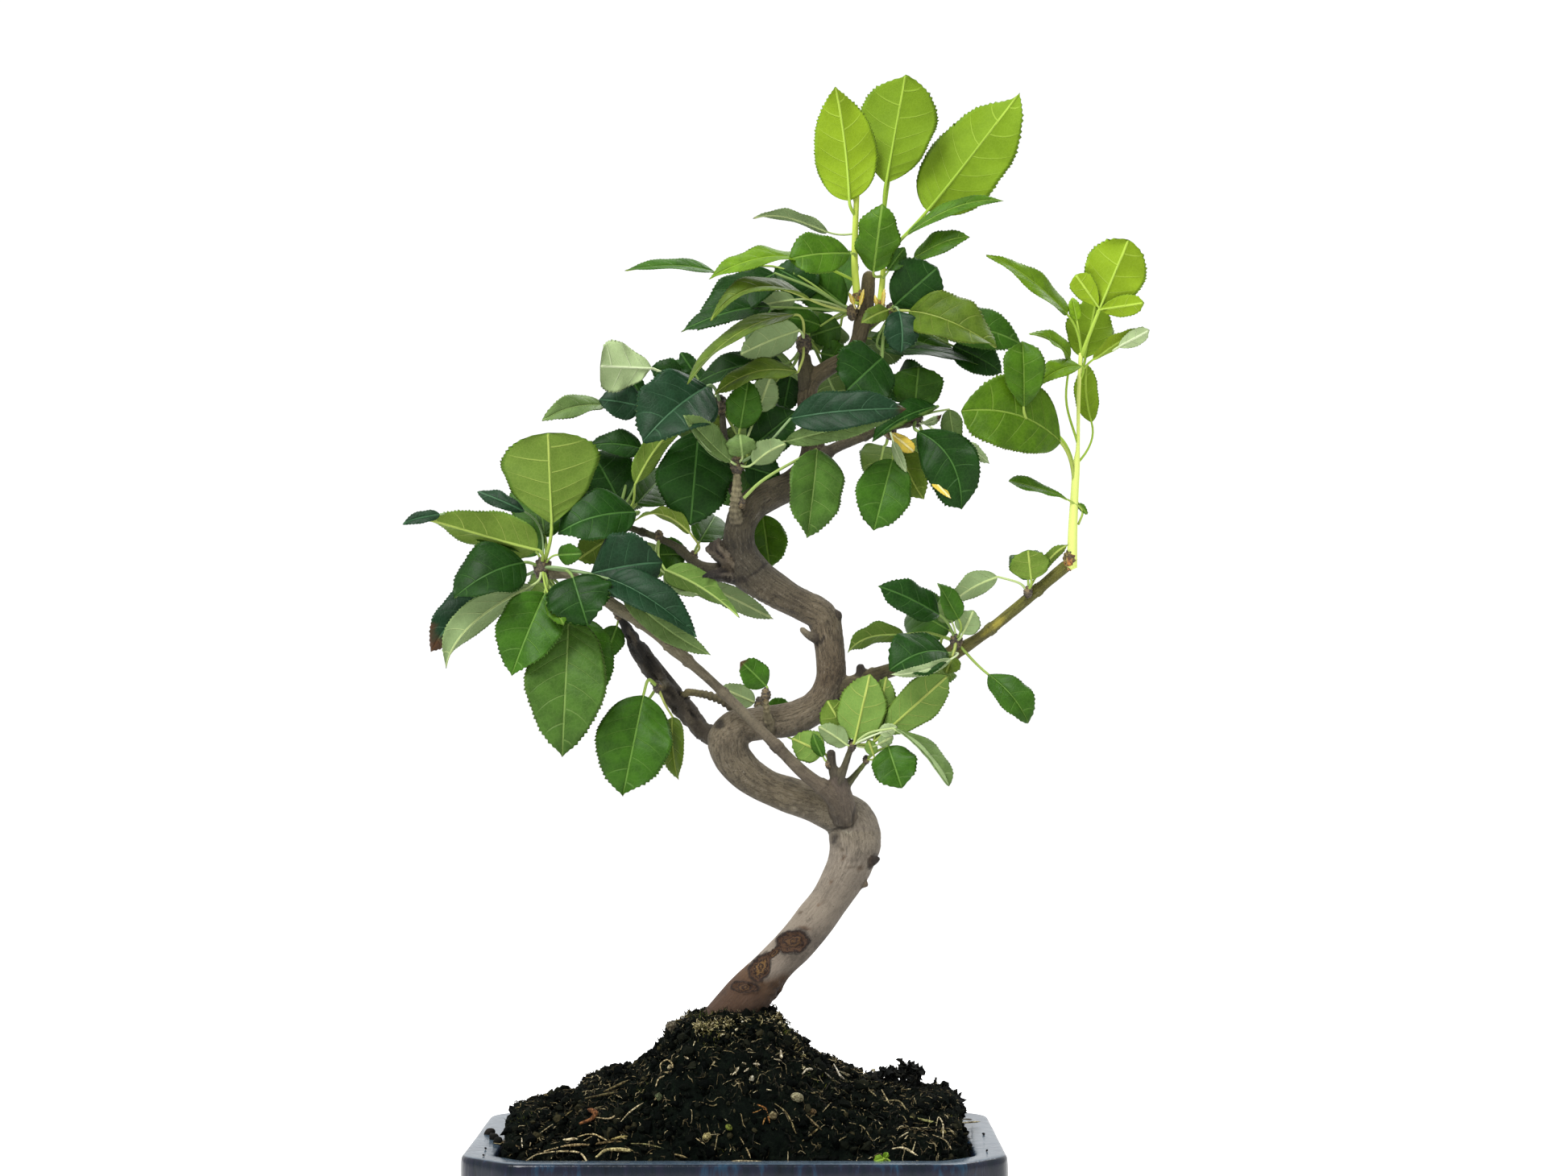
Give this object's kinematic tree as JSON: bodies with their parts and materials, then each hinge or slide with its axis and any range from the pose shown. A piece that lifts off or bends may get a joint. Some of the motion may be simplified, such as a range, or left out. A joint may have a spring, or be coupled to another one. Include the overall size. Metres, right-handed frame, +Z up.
{
  "type": "apple bonsai in a pot",
  "caption": "Small potted apple tree with a winding trunk, a twig swept to each side and serrated leaves, in a footed tray pot of earth.",
  "frame": {"origin": "middle of the bounding box at the height of the feet's undersides", "axes": "+Z up along the tree, -Y the front, +X to the right along the pot's length"},
  "size_m": [0.292, 0.155, 0.4806],
  "materials": {
    "glaze": "gloss",
    "screen": "matte",
    "earth": "matte",
    "bark": "matte",
    "leaf": "satin",
    "young_leaf": "satin"
  },
  "bodies": {
    "root": {"pot": "glaze", "drain_screen_left": "screen", "drain_screen_right": "screen", "soil": "earth", "trunk": "bark", "left_spray": "leaf", "twig_end_leaf": "leaf", "mid_left_spray": "leaf", "arching_spray": "leaf", "hanging_olive_spray": "leaf", "lower_left_spray": "leaf", "spur_spray": "leaf", "drooping_leaf": "leaf", "dark_spray": "leaf", "upper_left_spray": "leaf", "crown_left_spray": "leaf", "crown_shoot_left": "young_leaf", "crown_shoot_right": "young_leaf", "crown_right_spray": "leaf", "middle_spray": "leaf", "hanging_pair": "leaf", "right_shoot": "young_leaf", "right_spur_spray": "leaf", "branch_spray": "leaf", "fork_spray": "young_leaf", "fork_leaf": "leaf", "round_leaf": "leaf", "small_leaf": "leaf", "loop_leaf": "leaf", "trunk_back_leaves": "leaf"}
  },
  "joints": []
}
